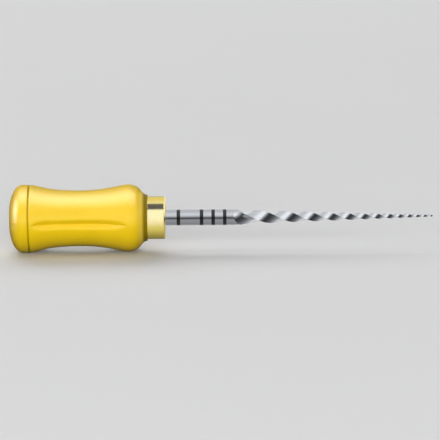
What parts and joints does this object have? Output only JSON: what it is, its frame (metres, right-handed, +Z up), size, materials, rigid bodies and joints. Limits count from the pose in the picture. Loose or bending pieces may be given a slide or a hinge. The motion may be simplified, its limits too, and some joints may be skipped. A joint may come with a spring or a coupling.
{
  "type": "endodontic file",
  "caption": "Root-canal hand file with a waisted soft yellow handle, gold collar, ringed shaft and twisted tapering cutting part.",
  "frame": {"origin": "on the axis at the collar's front face, where the bare shaft starts and a stop seats", "axes": "+X along the instrument towards the tip, +Z up as it lies"},
  "size_m": [0.0366, 0.0058, 0.0058],
  "materials": {
    "grip_silicone": "satin",
    "cap_plastic": "satin",
    "core_plastic": "matte",
    "gold_brass": "polished",
    "steel": "ground",
    "mark_black": "matte"
  },
  "bodies": {
    "root": {"end_cap": "cap_plastic", "grip_sleeve": "grip_silicone", "handle_core": "core_plastic", "drive_shank": "gold_brass", "file_blank": "steel", "depth_mark_18": "mark_black", "depth_mark_19": "mark_black", "depth_mark_20": "mark_black", "depth_mark_22": "mark_black"}
  },
  "joints": []
}
